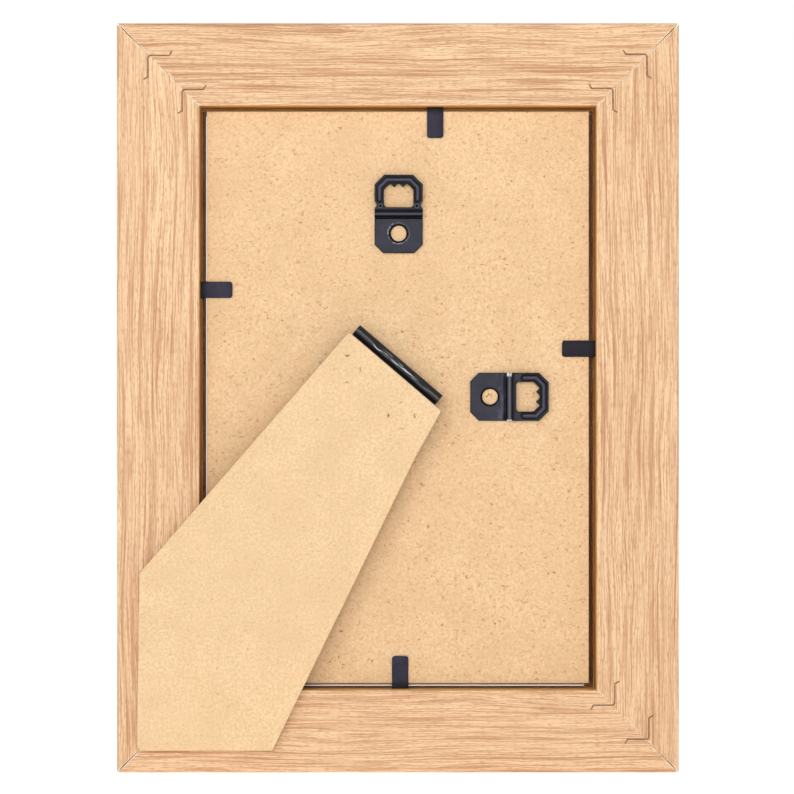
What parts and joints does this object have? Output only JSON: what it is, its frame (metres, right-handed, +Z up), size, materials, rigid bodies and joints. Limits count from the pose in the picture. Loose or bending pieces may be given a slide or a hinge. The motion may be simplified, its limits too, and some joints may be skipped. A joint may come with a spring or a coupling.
{
  "type": "picture frame",
  "caption": "Mitred wooden picture frame for a 10 x 15 cm print, with a hinged easel strut, wall hangers and bending tabs that hold the backing board in.",
  "frame": {"origin": "centre of the bottom edge that the frame stands on, halfway between its face and its back", "axes": "+Z up along the frame's long side, +Y out of the back, +X to the right as seen from the face"},
  "size_m": [0.15, 0.0169, 0.2],
  "materials": {
    "oak_foil": "oak-effect foil, satin",
    "nail_steel": "dark bare steel strip edge",
    "glass": "clear",
    "picture_paper": "coated print paper",
    "board_mdf": "raw thin fibreboard",
    "strut_mdf": "raw thin fibreboard, lighter",
    "black_steel": "blackened steel, satin",
    "tab_steel": "blackened spring steel, satin"
  },
  "bodies": {
    "frame": {"top_rail": "oak_foil", "bottom_rail": "oak_foil", "left_rail": "oak_foil", "right_rail": "oak_foil", "v_nails_top_left": "nail_steel", "v_nails_top_right": "nail_steel", "v_nails_bottom_left": "nail_steel", "v_nails_bottom_right": "nail_steel", "glass_pane": "glass", "picture_sheet": "picture_paper", "backing_board": "board_mdf", "top_tab_root": "tab_steel", "bottom_tab_root": "tab_steel", "left_tab_root": "tab_steel", "right_tab_root": "tab_steel", "upright_hanger": "black_steel", "sideways_hanger": "black_steel", "hinge_board_leaf": "black_steel"},
    "strut": {"strut": "strut_mdf", "hinge_strut_leaf": "black_steel"},
    "top_tab": {"top_tab_blade": "tab_steel"},
    "bottom_tab": {"bottom_tab_blade": "tab_steel"},
    "left_tab": {"left_tab_blade": "tab_steel"},
    "right_tab": {"right_tab_blade": "tab_steel"}
  },
  "joints": [
    {"name": "strut_hinge", "type": "hinge", "parent": "frame", "child": "strut", "pos_m": [0, 0.0071, 0.1089], "axis": [0.7604, 0, 0.6494], "range_deg": [0, 35]},
    {"name": "top_tab_bend", "type": "hinge", "parent": "frame", "child": "top_tab", "pos_m": [-0.01, 0.00355, 0.178], "axis": [1, 0, 0], "range_deg": [0, 85]},
    {"name": "bottom_tab_bend", "type": "hinge", "parent": "frame", "child": "bottom_tab", "pos_m": [-0.0006, 0.00355, 0.022], "axis": [-1, 0, 0], "range_deg": [0, 85]},
    {"name": "left_tab_bend", "type": "hinge", "parent": "frame", "child": "left_tab", "pos_m": [-0.053, 0.00355, 0.1132], "axis": [0, 0, 1], "range_deg": [0, 85]},
    {"name": "right_tab_bend", "type": "hinge", "parent": "frame", "child": "right_tab", "pos_m": [0.053, 0.00355, 0.129], "axis": [0, 0, -1], "range_deg": [0, 85]}
  ]
}
